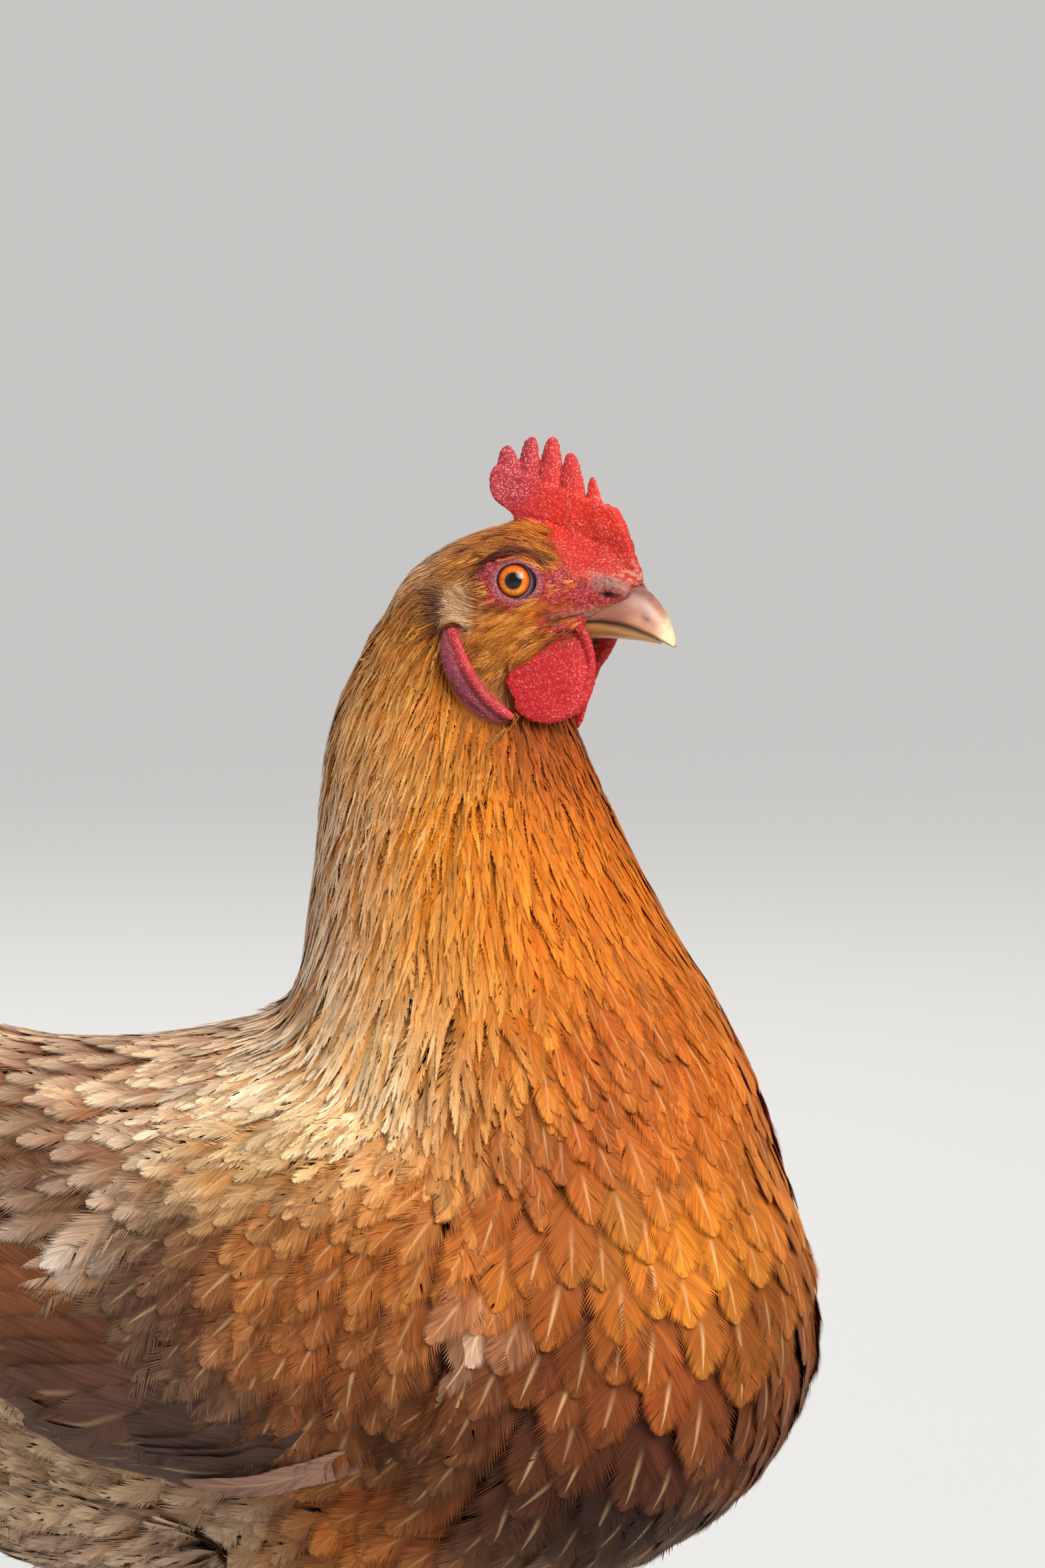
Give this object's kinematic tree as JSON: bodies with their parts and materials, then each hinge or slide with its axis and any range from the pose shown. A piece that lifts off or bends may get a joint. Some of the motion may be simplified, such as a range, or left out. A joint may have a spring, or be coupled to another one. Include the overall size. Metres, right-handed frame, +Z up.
{
  "type": "domestic chicken hen",
  "caption": "Standing brown laying hen in life size, head up, wings folded, with a red single comb, wattles and ear lobes.",
  "frame": {"origin": "on the floor, under the middle of the whole bird's box", "axes": "+X the way the hen faces, +Y to its left, +Z up"},
  "size_m": [0.3634, 0.177, 0.4182],
  "materials": {
    "plumage": "soft overlapping feathers",
    "bare_skin": "fine papillae, slightly waxy",
    "horn": "satin horn",
    "eye": "wet and clear",
    "leg_scale": "overlapping dry scales"
  },
  "bodies": {
    "root": {"bill_lower": "horn", "bill_upper": "horn", "claw_left_hind": "horn", "claw_left_inner": "horn", "claw_left_middle": "horn", "claw_left_outer": "horn", "claw_right_hind": "horn", "claw_right_inner": "horn", "claw_right_middle": "horn", "claw_right_outer": "horn", "comb": "bare_skin", "earlobe_left": "bare_skin", "earlobe_right": "bare_skin", "eye_left": "eye", "eye_right": "eye", "foot_left": "leg_scale", "foot_right": "leg_scale", "head": "plumage", "neck": "plumage", "shank_left": "leg_scale", "shank_right": "leg_scale", "tail": "plumage", "thigh_left": "plumage", "thigh_right": "plumage", "toe_left_hind": "leg_scale", "toe_left_inner": "leg_scale", "toe_left_middle": "leg_scale", "toe_left_outer": "leg_scale", "toe_right_hind": "leg_scale", "toe_right_inner": "leg_scale", "toe_right_middle": "leg_scale", "toe_right_outer": "leg_scale", "trunk": "plumage", "wattle_left": "bare_skin", "wattle_right": "bare_skin", "wing_left": "plumage", "wing_right": "plumage"}
  },
  "joints": []
}
